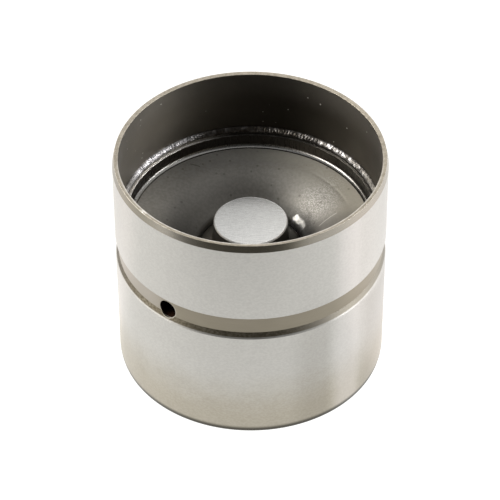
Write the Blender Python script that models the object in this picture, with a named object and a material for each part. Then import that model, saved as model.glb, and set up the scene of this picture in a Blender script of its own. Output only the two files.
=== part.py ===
"""Hydraulic bucket tappet, standing on its cam face with the valve side up.

Lengths are in metres and +Z is up. The origin is the centre of the cam face, which is the flat outer
face of the bucket's crown. Every piece is turned about the Z axis, so each one is a profile of
(radius, height) points spun round that axis, and its holes are cut afterwards.
"""

import math

import bmesh
import bpy
from mathutils import Matrix, Vector

MM = 0.001

# Fits
REST_GAP = 0.3 * MM             # between pieces that seat on each other
RUNNING_CLEARANCE = 0.2 * MM    # radial, between pieces that slide in each other
WELD_FIT = 0.2 * MM             # radial, between the guide sleeve's flange and the bucket

# Bucket
OUTER_RADIUS = 17.5 * MM
HEIGHT = 31.8 * MM
CROWN_THICKNESS = 3.0 * MM
CROWN_FILLET = 1.5 * MM
SKIRT_WALL = 0.76 * MM          # thin wall above the seat of the guide sleeve
LOWER_WALL = 1.6 * MM           # thicker wall below it
FOOT_LEAD_WIDTH = 0.26 * MM     # rounded lead-in at the crown's edge
FOOT_LEAD_HEIGHT = 1.0 * MM
RIM_LEAD_WIDTH = 0.23 * MM      # straight lead-in chamfer at the rim
RIM_LEAD_HEIGHT = 0.95 * MM
RIM_INNER_DROP = 0.1 * MM       # the rim's land falls a little towards the bore
GROOVE_BOTTOM = 16.4 * MM       # oil groove, from its lower edge
GROOVE_WIDTH = 3.45 * MM
GROOVE_DEPTH = 0.35 * MM
GROOVE_SHOULDER = 0.9 * MM      # height of the groove's sloping lower shoulder
OIL_HOLE_DIAMETER = 2.5 * MM
OIL_HOLE_MARGIN = 0.55 * MM     # hole to the groove's upper edge
OIL_HOLE_AZIMUTH = math.radians(232.3)
OIL_RECESS_WIDTH = 3.0 * MM     # passage across the inner face of the crown
OIL_RECESS_DEPTH = 0.6 * MM
OIL_RECESS_OVERRUN = 3.2 * MM   # how far it reaches past the piston

# Guide sleeve, drawn from sheet
SHEET = 0.6 * MM
WEB_HEIGHT = 20.35 * MM         # cam face to the web's upper side at the flange's foot
FLANGE_RISE = 1.75 * MM         # web to the flange's lip
FLANGE_FILLET = 0.6 * MM
BEAD_RISE = 0.8 * MM            # the weld climbs this far from the lip to the wall
WEB_SLOPE = math.radians(3)     # the web falls inwards from the flange's foot
DISH_MARGIN = 2.6 * MM          # radial width of that slope, up to where the dish begins
THROAT_SLOPE = math.radians(42)
THROAT_REACH = 1.73 * MM        # radial width of the steep entry from the dish to the guide tube
THROAT_ROUND = 0.8 * MM         # round edge from the entry into the guide tube
TUBE_FOOT_CLEARANCE = 3.2 * MM  # crown to the guide tube's end

# Inner housing
HOUSING_WALL = 1.2 * MM
HOUSING_FOOT_CLEARANCE = 2.0 * MM
HOUSING_CHAMFER = 0.3 * MM
PAD_RADIUS = 4.77 * MM          # ground face that meets the valve stem
PAD_STAND = 0.65 * MM           # height of the pad above the web's edge
PAD_BEVEL = 0.12 * MM
NECK_TAPER = 0.25 * MM          # the neck under the pad widens by this much
NECK_HEIGHT = 3.5 * MM
SHOULDER_DROP = 0.9 * MM        # cone from the neck out to the housing's edge
END_WALL = 2.8 * MM             # pad to the pocket above the valve
POCKET_DEPTH = 2.3 * MM         # pocket to the spring's seat
POCKET_CLEARANCE = 0.6 * MM     # radial, round the valve cap

# Piston
PISTON_RADIUS = 5.4 * MM
PISTON_LENGTH = 6.3 * MM
PISTON_CHAMFER = 0.25 * MM
PISTON_HEAD = 1.6 * MM          # thickness of the wall that holds the valve seat
RESERVOIR_RADIUS = 3.6 * MM
RELIEF_WIDTH = 1.2 * MM
RELIEF_DEPTH = 0.2 * MM
PORT_RADIUS = 0.85 * MM
SEAT_WIDTH = 0.5 * MM           # 45 degree cone that the ball closes

# Check valve
BALL_RADIUS = 1.5 * MM
BALL_CLEARANCE = 1.0 * MM       # radial, ball to valve cap
CAP_SHEET = 0.4 * MM
CAP_HEIGHT = 4.4 * MM
CAP_VENT_RADIUS = 0.5 * MM
CAP_WINDOW_RADIUS = 0.6 * MM
CAP_WINDOW_PAIRS = 2
VALVE_SPRING_WIRE = 0.2 * MM
VALVE_SPRING_RADIUS = 0.85 * MM
VALVE_SPRING_TURNS = 3.5

# Return spring
RETURN_SPRING_WIRE = 0.7 * MM
RETURN_SPRING_TURNS = 4.5
RETURN_SPRING_CLEARANCE = 0.8 * MM   # radial, to the housing's bore
CAP_FLANGE_MARGIN = 0.2 * MM         # cap's flange past the spring

# Facets
SKIRT_STEPS = 72
HOUSING_STEPS = 60
VALVE_STEPS = 36
ARC_STEPS = 5

# Sizes that follow from the ones above
SKIRT_BORE_RADIUS = OUTER_RADIUS - SKIRT_WALL
LOWER_BORE_RADIUS = OUTER_RADIUS - LOWER_WALL
GROOVE_TOP = GROOVE_BOTTOM + GROOVE_WIDTH
GROOVE_RADIUS = OUTER_RADIUS - GROOVE_DEPTH
OIL_HOLE_HEIGHT = GROOVE_TOP - OIL_HOLE_MARGIN - OIL_HOLE_DIAMETER / 2

HOUSING_BORE_RADIUS = PISTON_RADIUS + RUNNING_CLEARANCE
HOUSING_RADIUS = HOUSING_BORE_RADIUS + HOUSING_WALL
HOUSING_FOOT = CROWN_THICKNESS + HOUSING_FOOT_CLEARANCE
PAD_HEIGHT = WEB_HEIGHT + PAD_STAND
HOUSING_LENGTH = PAD_HEIGHT - HOUSING_FOOT
SPRING_SEAT_HEIGHT = PAD_HEIGHT - END_WALL - POCKET_DEPTH

TUBE_BORE_RADIUS = HOUSING_RADIUS + RUNNING_CLEARANCE
TUBE_FOOT = CROWN_THICKNESS + TUBE_FOOT_CLEARANCE
FLANGE_RADIUS = SKIRT_BORE_RADIUS - WELD_FIT
BEND_CENTRE_RADIUS = FLANGE_RADIUS - SHEET - FLANGE_FILLET
BEND_CENTRE_HEIGHT = WEB_HEIGHT + FLANGE_FILLET

# The dish is an arc between the web's slope and the throat's. A surface that leans inwards by an
# angle has its normal at 90 degrees plus that angle.
WEB_NORMAL = 90 + math.degrees(WEB_SLOPE)
THROAT_NORMAL = 90 + math.degrees(THROAT_SLOPE)
DISH_START_RADIUS = BEND_CENTRE_RADIUS + FLANGE_FILLET * math.sin(WEB_SLOPE) - DISH_MARGIN
DISH_START_HEIGHT = BEND_CENTRE_HEIGHT - FLANGE_FILLET * math.cos(WEB_SLOPE) - DISH_MARGIN * math.tan(WEB_SLOPE)
DISH_END_RADIUS = TUBE_BORE_RADIUS + THROAT_REACH
DISH_ROUND = (DISH_START_RADIUS - DISH_END_RADIUS) / (math.sin(THROAT_SLOPE) - math.sin(WEB_SLOPE))
DISH_CENTRE = (DISH_START_RADIUS + DISH_ROUND * math.sin(WEB_SLOPE),
               DISH_START_HEIGHT - DISH_ROUND * math.cos(WEB_SLOPE))
THROAT_CENTRE_RADIUS = TUBE_BORE_RADIUS + THROAT_ROUND
THROAT_END_RADIUS = THROAT_CENTRE_RADIUS - THROAT_ROUND * math.sin(THROAT_SLOPE)
THROAT_END_HEIGHT = (DISH_CENTRE[1] + DISH_ROUND * math.cos(THROAT_SLOPE)
                     - (DISH_END_RADIUS - THROAT_END_RADIUS) * math.tan(THROAT_SLOPE))
THROAT_CENTRE = (THROAT_CENTRE_RADIUS, THROAT_END_HEIGHT - THROAT_ROUND * math.cos(THROAT_SLOPE))

# The flange's round bend rests on the inner corner of the ledge in the bucket.
LEDGE_REACH = max(LOWER_BORE_RADIUS - BEND_CENTRE_RADIUS, 0)
LEDGE_HEIGHT = BEND_CENTRE_HEIGHT - math.sqrt((FLANGE_FILLET + SHEET + REST_GAP)**2 - LEDGE_REACH**2)

PISTON_FOOT = CROWN_THICKNESS + REST_GAP
PISTON_TOP = PISTON_FOOT + PISTON_LENGTH
OIL_RECESS_LENGTH = PISTON_RADIUS + OIL_RECESS_OVERRUN

CAP_FOOT = PISTON_TOP + REST_GAP
CAP_RADIUS = BALL_RADIUS + BALL_CLEARANCE + CAP_SHEET
POCKET_RADIUS = CAP_RADIUS + POCKET_CLEARANCE

RETURN_SPRING_OUTER_RADIUS = HOUSING_BORE_RADIUS - RETURN_SPRING_CLEARANCE
RETURN_SPRING_RADIUS = RETURN_SPRING_OUTER_RADIUS - RETURN_SPRING_WIRE / 2
RETURN_SPRING_FOOT = CAP_FOOT + CAP_SHEET + REST_GAP
RETURN_SPRING_LENGTH = SPRING_SEAT_HEIGHT - REST_GAP - RETURN_SPRING_FOOT
CAP_FLANGE_RADIUS = RETURN_SPRING_OUTER_RADIUS + CAP_FLANGE_MARGIN

# A ball in a 45 degree cone stands sqrt(2) times its radius above the cone's point.
SEAT_CONE_POINT = PISTON_TOP - SEAT_WIDTH - PORT_RADIUS
BALL_HEIGHT = SEAT_CONE_POINT + math.sqrt(2) * (BALL_RADIUS + REST_GAP)
VALVE_SPRING_FOOT = BALL_HEIGHT + math.sqrt(BALL_RADIUS**2 - VALVE_SPRING_RADIUS**2) + REST_GAP
VALVE_SPRING_LENGTH = CAP_FOOT + CAP_HEIGHT - CAP_SHEET - REST_GAP - VALVE_SPRING_FOOT


def clear_scene():
    for obj in list(bpy.data.objects):
        bpy.data.objects.remove(obj, do_unlink=True)


def metal(name, colour, roughness):
    """A Principled metal with one base colour and roughness."""
    material = bpy.data.materials.new(name)
    material.use_nodes = True
    shader = material.node_tree.nodes["Principled BSDF"]
    shader.inputs["Base Color"].default_value = (*colour, 1.0)
    shader.inputs["Metallic"].default_value = 1.0
    shader.inputs["Roughness"].default_value = roughness
    material.diffuse_color = (*colour, 1.0)
    return material


def arc(centre_radius, centre_height, size_radius, size_height, start, end, steps=ARC_STEPS):
    """Points of an ellipse's arc, from start to end degrees, counted from the outward direction."""
    points = []
    for i in range(steps + 1):
        angle = math.radians(start + (end - start) * i / steps)
        radius = centre_radius + size_radius * math.cos(angle)
        height = centre_height + size_height * math.sin(angle)
        points.append((radius, height))
    return points


def finish_mesh(bm, name, material, parent, height):
    """Turn a bmesh into a named object with its origin on the Z axis at the given height."""
    bmesh.ops.recalc_face_normals(bm, faces=bm.faces)
    mesh = bpy.data.meshes.new(name)
    bm.to_mesh(mesh)
    bm.free()
    mesh.shade_smooth()
    mesh.set_sharp_from_angle(angle=math.radians(30))
    mesh.materials.append(material)
    obj = bpy.data.objects.new(name, mesh)
    bpy.context.collection.objects.link(obj)
    obj.parent = parent
    obj.location = (0, 0, height)
    return obj


def turned(name, profile, closed, steps, material, parent, height=0.0):
    """Spin a profile of (radius, height) points round Z. An open profile starts and ends on the axis."""
    bm = bmesh.new()
    verts = [bm.verts.new((radius, 0, z)) for radius, z in profile]
    edges = [bm.edges.new(pair) for pair in zip(verts, verts[1:])]
    if closed:
        edges.append(bm.edges.new((verts[-1], verts[0])))
    bmesh.ops.spin(bm, geom=verts + edges, cent=(0, 0, 0), axis=(0, 0, 1), angle=2 * math.pi,
                   steps=steps, use_merge=True)
    bmesh.ops.remove_doubles(bm, verts=bm.verts, dist=1e-7)
    return finish_mesh(bm, name, material, parent, height)


def cut(target, cutter):
    """Subtract a cutter, which stays in the scene as a hidden wire guide."""
    modifier = target.modifiers.new(cutter.name, "BOOLEAN")
    modifier.operation = "DIFFERENCE"
    modifier.solver = "EXACT"
    modifier.object = cutter
    cutter.hide_render = True
    cutter.display_type = "WIRE"


def rod_cutter(name, radius, start, end, steps, material, parent):
    """A closed cylinder between two points."""
    start = Vector(start)
    end = Vector(end)
    direction = end - start
    turn = Vector((0, 0, 1)).rotation_difference(direction).to_matrix().to_4x4()
    bm = bmesh.new()
    bmesh.ops.create_cone(bm, cap_ends=True, segments=steps, radius1=radius, radius2=radius,
                          depth=direction.length, matrix=Matrix.Translation((start + end) / 2) @ turn)
    return finish_mesh(bm, name, material, parent, 0.0)


def slot_cutter(name, length, width, depth, height, material, parent):
    """A slot along +X with round ends, from the axis to the given length, sunk by depth from a height."""
    radius = width / 2
    outline = arc(length - radius, 0, radius, radius, -90, 90, 12) + arc(0, 0, radius, radius, 90, 270, 12)
    bm = bmesh.new()
    floor = bm.faces.new([bm.verts.new((x, y, height - depth)) for x, y in outline])
    raised = bmesh.ops.extrude_face_region(bm, geom=[floor])
    lifted = [item for item in raised["geom"] if isinstance(item, bmesh.types.BMVert)]
    bmesh.ops.translate(bm, verts=lifted, vec=(0, 0, 2 * depth))
    return finish_mesh(bm, name, material, parent, 0.0)


def coil(name, radius, wire, length, turns, roundness, steps_per_turn, material, parent, height):
    """A compression spring with one closed turn at each end, as a bevelled curve along a helix.

    The wire's middle climbs by a little more than its own thickness in each end turn and shares
    the rest of the height over the turns between them.
    """
    closed_pitch = wire * 1.1
    climb = length - wire
    open_pitch = (climb - 2 * closed_pitch) / (turns - 2)
    curve = bpy.data.curves.new(name, "CURVE")
    curve.dimensions = "3D"
    curve.bevel_depth = wire / 2
    curve.bevel_resolution = roundness
    curve.use_fill_caps = True
    spline = curve.splines.new("POLY")
    steps = int(round(turns * steps_per_turn))
    spline.points.add(steps)
    for i in range(steps + 1):
        turn = turns * i / steps
        lower = min(turn, 1.0) * closed_pitch
        middle = min(max(turn - 1.0, 0.0), turns - 2) * open_pitch
        upper = max(turn - (turns - 1.0), 0.0) * closed_pitch
        z = wire / 2 + lower + middle + upper
        angle = 2 * math.pi * turn
        spline.points[i].co = (radius * math.cos(angle), radius * math.sin(angle), z, 1)
    curve.materials.append(material)
    obj = bpy.data.objects.new(name, curve)
    bpy.context.collection.objects.link(obj)
    obj.parent = parent
    obj.location = (0, 0, height)
    return obj


def bucket_profile():
    """Outside from the cam face up over the groove to the rim, then down the bore to the crown."""
    land_edge = OUTER_RADIUS - RIM_LEAD_WIDTH
    points = [(0, 0)]
    points += arc(OUTER_RADIUS - FOOT_LEAD_WIDTH, FOOT_LEAD_HEIGHT, FOOT_LEAD_WIDTH, FOOT_LEAD_HEIGHT, -90, 0)
    points += [
        (OUTER_RADIUS, GROOVE_BOTTOM),
        (GROOVE_RADIUS, GROOVE_BOTTOM + GROOVE_SHOULDER),
        (GROOVE_RADIUS, GROOVE_TOP),
        (OUTER_RADIUS, GROOVE_TOP),
        (OUTER_RADIUS, HEIGHT - RIM_LEAD_HEIGHT),
        (land_edge, HEIGHT),
        (SKIRT_BORE_RADIUS, HEIGHT - RIM_INNER_DROP),
        (SKIRT_BORE_RADIUS, LEDGE_HEIGHT),
        (LOWER_BORE_RADIUS, LEDGE_HEIGHT),
    ]
    points += arc(LOWER_BORE_RADIUS - CROWN_FILLET, CROWN_THICKNESS + CROWN_FILLET,
                  CROWN_FILLET, CROWN_FILLET, 0, -90)
    points += [(0, CROWN_THICKNESS)]
    return points


def guide_sleeve_profile():
    """Up the guide bore, over the throat and the dish, out along the web, up the flange, and back below."""
    flange_inner = FLANGE_RADIUS - SHEET
    bend_centre = (BEND_CENTRE_RADIUS, BEND_CENTRE_HEIGHT)
    lip = WEB_HEIGHT + FLANGE_RISE
    outer_bend = FLANGE_FILLET + SHEET
    under_dish = DISH_ROUND - SHEET
    under_throat = THROAT_ROUND - SHEET
    points = [(TUBE_BORE_RADIUS, TUBE_FOOT)]
    points += arc(*THROAT_CENTRE, THROAT_ROUND, THROAT_ROUND, 180, THROAT_NORMAL, 4)
    points += arc(*DISH_CENTRE, DISH_ROUND, DISH_ROUND, THROAT_NORMAL, WEB_NORMAL, 6)
    points += arc(*bend_centre, FLANGE_FILLET, FLANGE_FILLET, WEB_NORMAL - 180, 0, 4)
    points += [(flange_inner, lip), (FLANGE_RADIUS, lip + BEAD_RISE)]
    points += arc(*bend_centre, outer_bend, outer_bend, 0, WEB_NORMAL - 180, 4)
    points += arc(*DISH_CENTRE, under_dish, under_dish, WEB_NORMAL, THROAT_NORMAL, 6)
    points += arc(*THROAT_CENTRE, under_throat, under_throat, THROAT_NORMAL, 180, 4)
    points += [(TUBE_BORE_RADIUS + SHEET, TUBE_FOOT)]
    return points


def housing_profile():
    """From the pad's middle down the outside to the foot, then up the bore to the valve pocket."""
    neck_foot = HOUSING_LENGTH - NECK_HEIGHT
    neck_radius = PAD_RADIUS + NECK_TAPER
    seat = SPRING_SEAT_HEIGHT - HOUSING_FOOT
    return [
        (0, HOUSING_LENGTH),
        (PAD_RADIUS - PAD_BEVEL, HOUSING_LENGTH),
        (PAD_RADIUS, HOUSING_LENGTH - PAD_BEVEL),
        (neck_radius, neck_foot),
        (HOUSING_RADIUS - HOUSING_CHAMFER, neck_foot - SHOULDER_DROP),
        (HOUSING_RADIUS, neck_foot - SHOULDER_DROP - HOUSING_CHAMFER),
        (HOUSING_RADIUS, HOUSING_CHAMFER),
        (HOUSING_RADIUS - HOUSING_CHAMFER, 0),
        (HOUSING_BORE_RADIUS + HOUSING_CHAMFER, 0),
        (HOUSING_BORE_RADIUS, HOUSING_CHAMFER),
        (HOUSING_BORE_RADIUS, seat),
        (POCKET_RADIUS, seat),
        (POCKET_RADIUS, seat + POCKET_DEPTH),
        (0, seat + POCKET_DEPTH),
    ]


def piston_profile():
    """Up the outside with its relief groove, over the head to the valve seat, and down the reservoir."""
    relief_foot = (PISTON_LENGTH - RELIEF_WIDTH) / 2
    relief_radius = PISTON_RADIUS - RELIEF_DEPTH
    return [
        (RESERVOIR_RADIUS, 0),
        (PISTON_RADIUS - PISTON_CHAMFER, 0),
        (PISTON_RADIUS, PISTON_CHAMFER),
        (PISTON_RADIUS, relief_foot),
        (relief_radius, relief_foot + RELIEF_DEPTH),
        (relief_radius, relief_foot + RELIEF_WIDTH - RELIEF_DEPTH),
        (PISTON_RADIUS, relief_foot + RELIEF_WIDTH),
        (PISTON_RADIUS, PISTON_LENGTH - PISTON_CHAMFER),
        (PISTON_RADIUS - PISTON_CHAMFER, PISTON_LENGTH),
        (PORT_RADIUS + SEAT_WIDTH, PISTON_LENGTH),
        (PORT_RADIUS, PISTON_LENGTH - SEAT_WIDTH),
        (PORT_RADIUS, PISTON_LENGTH - PISTON_HEAD),
        (RESERVOIR_RADIUS, PISTON_LENGTH - PISTON_HEAD),
    ]


def valve_cap_profile():
    """A drawn cup with a flat flange at its foot and a vent in its top."""
    return [
        (CAP_RADIUS - CAP_SHEET, 0),
        (CAP_FLANGE_RADIUS, 0),
        (CAP_FLANGE_RADIUS, CAP_SHEET),
        (CAP_RADIUS, CAP_SHEET),
        (CAP_RADIUS, CAP_HEIGHT),
        (CAP_VENT_RADIUS, CAP_HEIGHT),
        (CAP_VENT_RADIUS, CAP_HEIGHT - CAP_SHEET),
        (CAP_RADIUS - CAP_SHEET, CAP_HEIGHT - CAP_SHEET),
    ]


def make_bucket(material, guide, parent):
    """The outer body, with its oil hole in the groove and the oil recess across the crown."""
    bucket = turned("bucket", bucket_profile(), False, SKIRT_STEPS, material, parent)
    outward = Vector((math.cos(OIL_HOLE_AZIMUTH), math.sin(OIL_HOLE_AZIMUTH), 0))
    middle = Vector((0, 0, OIL_HOLE_HEIGHT))
    inner_end = middle + outward * (LOWER_BORE_RADIUS - LOWER_WALL)
    outer_end = middle + outward * (OUTER_RADIUS + LOWER_WALL)
    cut(bucket, rod_cutter("oil_hole_cutter", OIL_HOLE_DIAMETER / 2, inner_end, outer_end, 24, guide, parent))
    cut(bucket, slot_cutter("oil_recess_cutter", OIL_RECESS_LENGTH, OIL_RECESS_WIDTH, OIL_RECESS_DEPTH,
                            CROWN_THICKNESS, guide, parent))
    return bucket


def make_valve_cap(material, guide, parent):
    """The cage over the ball, with round windows in its wall."""
    cap = turned("valve_cap", valve_cap_profile(), True, VALVE_STEPS, material, parent, CAP_FOOT)
    for i in range(CAP_WINDOW_PAIRS):
        angle = math.pi * i / CAP_WINDOW_PAIRS
        reach = Vector((math.cos(angle), math.sin(angle), 0)) * (CAP_RADIUS + CAP_SHEET)
        middle = Vector((0, 0, CAP_FOOT + CAP_HEIGHT / 2))
        name = f"valve_cap_window_cutter_{i + 1}"
        cut(cap, rod_cutter(name, CAP_WINDOW_RADIUS, middle - reach, middle + reach, 16, guide, parent))
    return cap


def make_ball(material, parent):
    bm = bmesh.new()
    bmesh.ops.create_uvsphere(bm, u_segments=24, v_segments=12, radius=BALL_RADIUS)
    return finish_mesh(bm, "valve_ball", material, parent, BALL_HEIGHT)


def main():
    clear_scene()
    ground = metal("ground_steel", (0.62, 0.60, 0.57), 0.32)
    drawn = metal("drawn_steel", (0.22, 0.20, 0.18), 0.45)
    polished = metal("polished_steel", (0.70, 0.70, 0.69), 0.25)
    spring_steel = metal("spring_steel", (0.35, 0.35, 0.36), 0.35)
    cutter_material = metal("cutter", (0.8, 0.3, 0.2), 0.5)

    tappet = bpy.data.objects.new("tappet", None)
    bpy.context.collection.objects.link(tappet)

    make_bucket(ground, cutter_material, tappet)
    turned("guide_sleeve", guide_sleeve_profile(), True, SKIRT_STEPS, drawn, tappet)
    turned("inner_housing", housing_profile(), False, HOUSING_STEPS, polished, tappet, HOUSING_FOOT)
    turned("piston", piston_profile(), True, HOUSING_STEPS, polished, tappet, PISTON_FOOT)
    make_valve_cap(drawn, cutter_material, tappet)
    make_ball(polished, tappet)
    coil("valve_spring", VALVE_SPRING_RADIUS, VALVE_SPRING_WIRE, VALVE_SPRING_LENGTH, VALVE_SPRING_TURNS,
         1, 12, spring_steel, tappet, VALVE_SPRING_FOOT)
    coil("return_spring", RETURN_SPRING_RADIUS, RETURN_SPRING_WIRE, RETURN_SPRING_LENGTH, RETURN_SPRING_TURNS,
         2, 20, spring_steel, tappet, RETURN_SPRING_FOOT)


main()
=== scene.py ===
# %% [markdown]
# # Dressing a hydraulic bucket tappet
#
# A bucket tappet is a steel cup that sits between a camshaft and a valve. This one stands on its
# closed end, so we look down into it: a ground outer wall with an oil groove, a drawn sheet sleeve
# welded inside, and a small bright pad in the middle that touches the valve stem.
#
# The solids are already there, as facets. This lesson puts a smooth skin over each of them and gives
# every skin its own steel. All the lengths are in metres, and +Z runs from the closed end to the rim.

# %% Load the solids
import math

import bpy
import numpy as np
from mathutils import Matrix, Vector


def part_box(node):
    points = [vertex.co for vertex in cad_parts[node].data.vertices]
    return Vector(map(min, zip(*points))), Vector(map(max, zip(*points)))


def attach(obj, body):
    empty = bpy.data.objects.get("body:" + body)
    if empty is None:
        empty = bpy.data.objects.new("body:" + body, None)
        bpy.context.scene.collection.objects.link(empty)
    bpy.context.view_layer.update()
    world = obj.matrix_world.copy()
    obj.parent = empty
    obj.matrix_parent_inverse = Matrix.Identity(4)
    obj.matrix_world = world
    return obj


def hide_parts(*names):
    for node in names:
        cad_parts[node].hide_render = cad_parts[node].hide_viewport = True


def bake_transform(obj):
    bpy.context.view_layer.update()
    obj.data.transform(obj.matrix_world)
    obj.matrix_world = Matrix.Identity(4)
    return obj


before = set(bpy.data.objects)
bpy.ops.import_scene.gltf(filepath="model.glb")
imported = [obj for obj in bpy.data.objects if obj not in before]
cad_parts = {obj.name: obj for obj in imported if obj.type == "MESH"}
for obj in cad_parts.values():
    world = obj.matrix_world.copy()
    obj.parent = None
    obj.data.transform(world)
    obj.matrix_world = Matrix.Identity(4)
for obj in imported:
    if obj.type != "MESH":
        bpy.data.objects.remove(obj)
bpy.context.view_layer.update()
print("nodes:", sorted(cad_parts))

# %% [markdown]
# ## Sizes
#
# A skin has to lie exactly where its solid lies. The outer sizes are therefore read from the solids'
# boxes, and only what a box can't tell, such as a wall, a groove or an edge, is written down here.
# Writing each size once, with a name, keeps the pieces fitting each other when one of them changes.

# %% Sizes read from the solids
MM = 0.001

bucket_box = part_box("bucket")
OUTER_RADIUS = bucket_box[1].x
HEIGHT = bucket_box[1].z

sleeve_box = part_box("guide_sleeve")
FLANGE_RADIUS = sleeve_box[1].x
FLANGE_TOP = sleeve_box[1].z
TUBE_FOOT = sleeve_box[0].z

housing_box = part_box("inner_housing")
HOUSING_RADIUS = housing_box[1].x
HOUSING_FOOT = housing_box[0].z
PAD_HEIGHT = housing_box[1].z

piston_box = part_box("piston")
PISTON_RADIUS = piston_box[1].x
PISTON_FOOT = piston_box[0].z
PISTON_TOP = piston_box[1].z

cap_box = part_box("valve_cap")
CAP_FLANGE_RADIUS = cap_box[1].x
CAP_FOOT = cap_box[0].z
CAP_TOP = cap_box[1].z

ball_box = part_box("valve_ball")
BALL_RADIUS = (ball_box[1].z - ball_box[0].z) / 2
BALL_HEIGHT = (ball_box[1].z + ball_box[0].z) / 2
print(f"bucket {2 * OUTER_RADIUS / MM:.1f} mm across and {HEIGHT / MM:.1f} mm high")

# %% Sizes of the bucket
CROWN_THICKNESS = 3.0 * MM
CROWN_FILLET = 1.5 * MM
SKIRT_WALL = 0.76 * MM
LOWER_WALL = 1.6 * MM
FOOT_LEAD = (0.26 * MM, 1.0 * MM)      # rounded edge of the cam face, its width and height
RIM_LEAD = (0.23 * MM, 0.95 * MM)      # straight chamfer of the rim, its width and height
RIM_INNER_DROP = 0.1 * MM
GROOVE_BOTTOM = 16.4 * MM
GROOVE_TOP = 19.85 * MM
GROOVE_DEPTH = 0.35 * MM
GROOVE_SHOULDER = 0.9 * MM
OIL_HOLE_RADIUS = 1.25 * MM
OIL_HOLE_HEIGHT = 18.05 * MM
OIL_HOLE_AZIMUTH = math.radians(232.3)
OIL_RECESS_WIDTH = 3.0 * MM
OIL_RECESS_DEPTH = 0.6 * MM
OIL_RECESS_LENGTH = 8.6 * MM

SKIRT_BORE = OUTER_RADIUS - SKIRT_WALL
LOWER_BORE = OUTER_RADIUS - LOWER_WALL
GROOVE_RADIUS = OUTER_RADIUS - GROOVE_DEPTH

# %% Sizes of the guide sleeve and the weld
SHEET = 0.6 * MM
WEB_HEIGHT = 20.35 * MM
LIP_HEIGHT = 22.1 * MM
FLANGE_FILLET = 0.6 * MM
WEB_SLOPE = math.radians(3)            # the web falls inwards from the flange's foot
DISH_MARGIN = 2.6 * MM                 # width of that slope, up to where the dish begins
THROAT_SLOPE = math.radians(42)
THROAT_REACH = 1.73 * MM               # radial width of the steep throat
THROAT_ROUND = 0.8 * MM                # round edge from the throat into the tube
RUNNING_CLEARANCE = 0.2 * MM
REST_GAP = 0.3 * MM

LIP_RADIUS = FLANGE_RADIUS - SHEET
TUBE_BORE = HOUSING_RADIUS + RUNNING_CLEARANCE
BEND_CENTRE = (LIP_RADIUS - FLANGE_FILLET, WEB_HEIGHT + FLANGE_FILLET)
LEDGE_REACH = LOWER_BORE - BEND_CENTRE[0]
LEDGE_HEIGHT = BEND_CENTRE[1] - math.sqrt((FLANGE_FILLET + SHEET + REST_GAP)**2 - LEDGE_REACH**2)

# %% Sizes of the inner housing, the piston and the check valve
HOUSING_BORE = PISTON_RADIUS + RUNNING_CLEARANCE
HOUSING_CHAMFER = 0.3 * MM
PAD_RADIUS = 4.77 * MM
PAD_BEVEL = 0.12 * MM
NECK_TAPER = 0.25 * MM
NECK_HEIGHT = 3.5 * MM
SHOULDER_DROP = 0.9 * MM
SPRING_SEAT = PAD_HEIGHT - 5.1 * MM
POCKET_RADIUS = 3.5 * MM
POCKET_TOP = PAD_HEIGHT - 2.8 * MM
PISTON_CHAMFER = 0.25 * MM
PISTON_HEAD = 1.6 * MM
RESERVOIR_RADIUS = 3.6 * MM
RELIEF_WIDTH = 1.2 * MM
RELIEF_DEPTH = 0.2 * MM
PORT_RADIUS = 0.85 * MM
SEAT_WIDTH = 0.5 * MM
CAP_RADIUS = 2.9 * MM
CAP_SHEET = 0.4 * MM
CAP_VENT_RADIUS = 0.5 * MM
CAP_WINDOW_RADIUS = 0.6 * MM

# %% [markdown]
# ## Camera
#
# The photograph looks down at about 42 degrees with a long lens, so the circles stay nearly true
# ellipses. The camera is set by that angle, by its distance, and by the point on the axis that it
# looks at. It leans a fifth of a degree, and a small shift moves the axis off the middle.

# %% Camera
IMAGE_SIZE = 500                       # pixels, both ways
SENSOR = 36.0                          # millimetres, Blender's default sensor
AXIS_COLUMN = 250.77                   # pixel column of the tappet's axis at the point looked at
FOCAL_PIXELS = 2690.0
CAMERA_DISTANCE = 350 * MM
CAMERA_ELEVATION = math.radians(41.59)
CAMERA_ROLL = math.radians(0.22)
LOOK_HEIGHT = 15.86 * MM


def make_camera():
    """A camera on the -Y side whose view line meets the axis at LOOK_HEIGHT.

    Its back axis points from the look point to the camera: (0, -cos e, sin e) for elevation e. Its
    right and up axes are X and (0, sin e, cos e), turned together about the back axis by the roll.
    """
    back = Vector((0, -math.cos(CAMERA_ELEVATION), math.sin(CAMERA_ELEVATION)))
    level_up = Vector((0, math.sin(CAMERA_ELEVATION), math.cos(CAMERA_ELEVATION)))
    level_right = Vector((1, 0, 0))
    right = level_right * math.cos(CAMERA_ROLL) - level_up * math.sin(CAMERA_ROLL)
    up = level_up * math.cos(CAMERA_ROLL) + level_right * math.sin(CAMERA_ROLL)
    data = bpy.data.cameras.new("camera")
    data.sensor_width = SENSOR
    data.lens = FOCAL_PIXELS / IMAGE_SIZE * SENSOR
    data.shift_x = -(AXIS_COLUMN - IMAGE_SIZE / 2) / IMAGE_SIZE
    data.clip_start = CAMERA_DISTANCE / 10
    camera = bpy.data.objects.new("camera", data)
    camera.matrix_world = Matrix.Translation(Vector((0, 0, LOOK_HEIGHT)) + back * CAMERA_DISTANCE) @ Matrix(
        (right, up, back)).transposed().to_4x4()
    bpy.context.collection.objects.link(camera)
    bpy.context.scene.camera = camera
    return camera


camera = make_camera()
print(f"lens {camera.data.lens:.1f} mm")

# %% [markdown]
# ## Profiles
#
# Nearly every piece here was turned on a lathe, drawn in a round die or ground while it spun. So each
# one is an outline of (radius, height) points swept round the Z axis. The outline could be drawn by
# hand as a curve, but then its corners would be razor sharp. Real edges are broken by a tenth of a
# millimetre or so, and that is what catches the light. Here a corner is a triple of radius, height
# and edge radius, and one function turns all the corners of an outline into arcs at once.

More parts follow.
